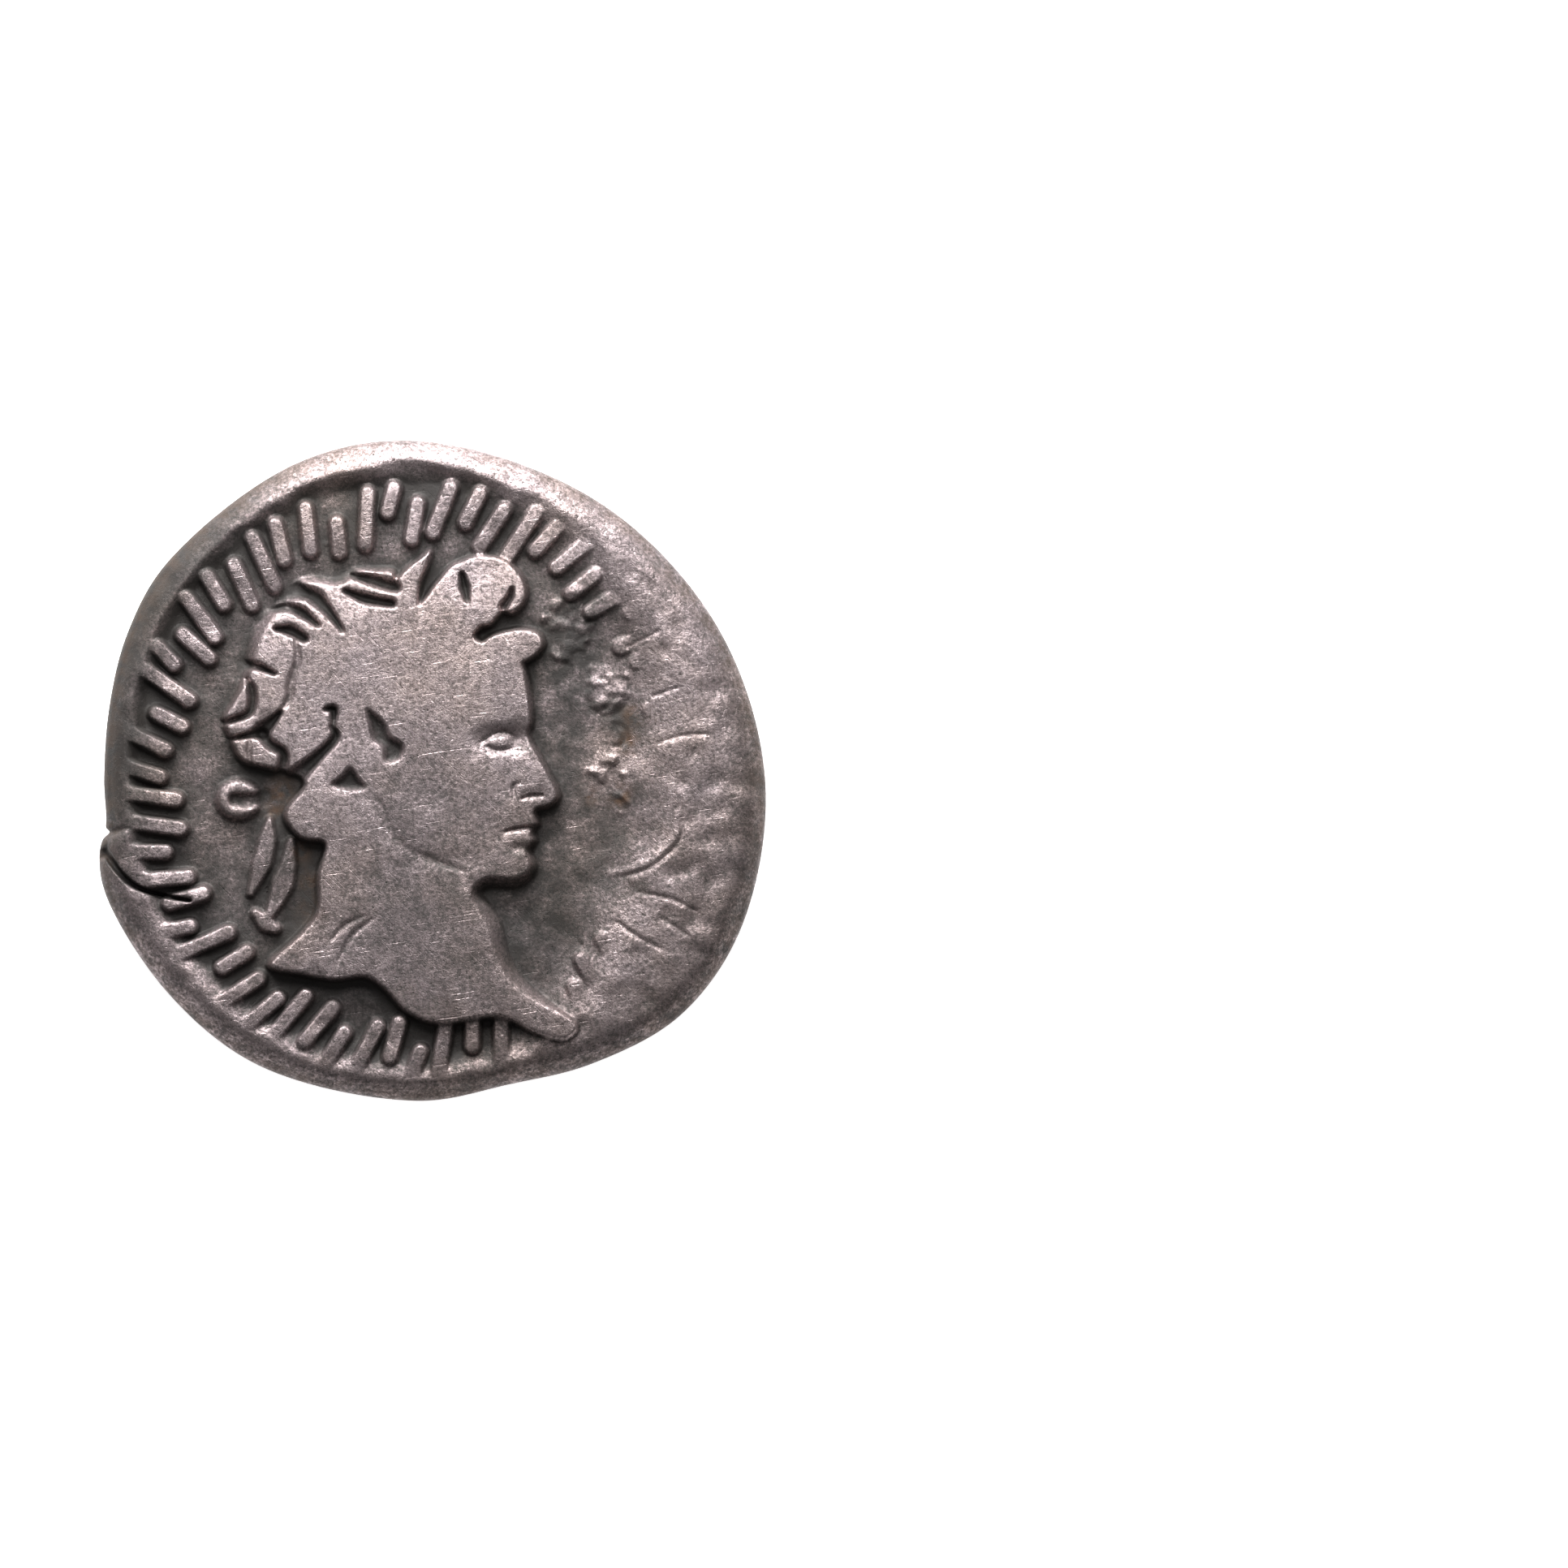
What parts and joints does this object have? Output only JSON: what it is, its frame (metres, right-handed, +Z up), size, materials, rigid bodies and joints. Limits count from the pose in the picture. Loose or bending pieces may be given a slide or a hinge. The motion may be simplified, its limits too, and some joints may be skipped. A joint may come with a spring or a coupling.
{
  "type": "denarius coin",
  "caption": "Worn ancient silver coin with an uneven flan, a laurelled bust on one face and a seated captive on the other.",
  "frame": {"origin": "middle of the underside of the coin's box, on the surface it lies on", "axes": "+Z up out of the obverse, +Y towards the top of the bust's head, +X the way the bust faces"},
  "size_m": [0.0186, 0.0186, 0.0017],
  "materials": {
    "worn_silver": "worn silver, smooth dull tops, fine pits and scratches, dark grey dirt in the recesses"
  },
  "bodies": {
    "root": {"coin": "worn_silver"}
  },
  "joints": []
}
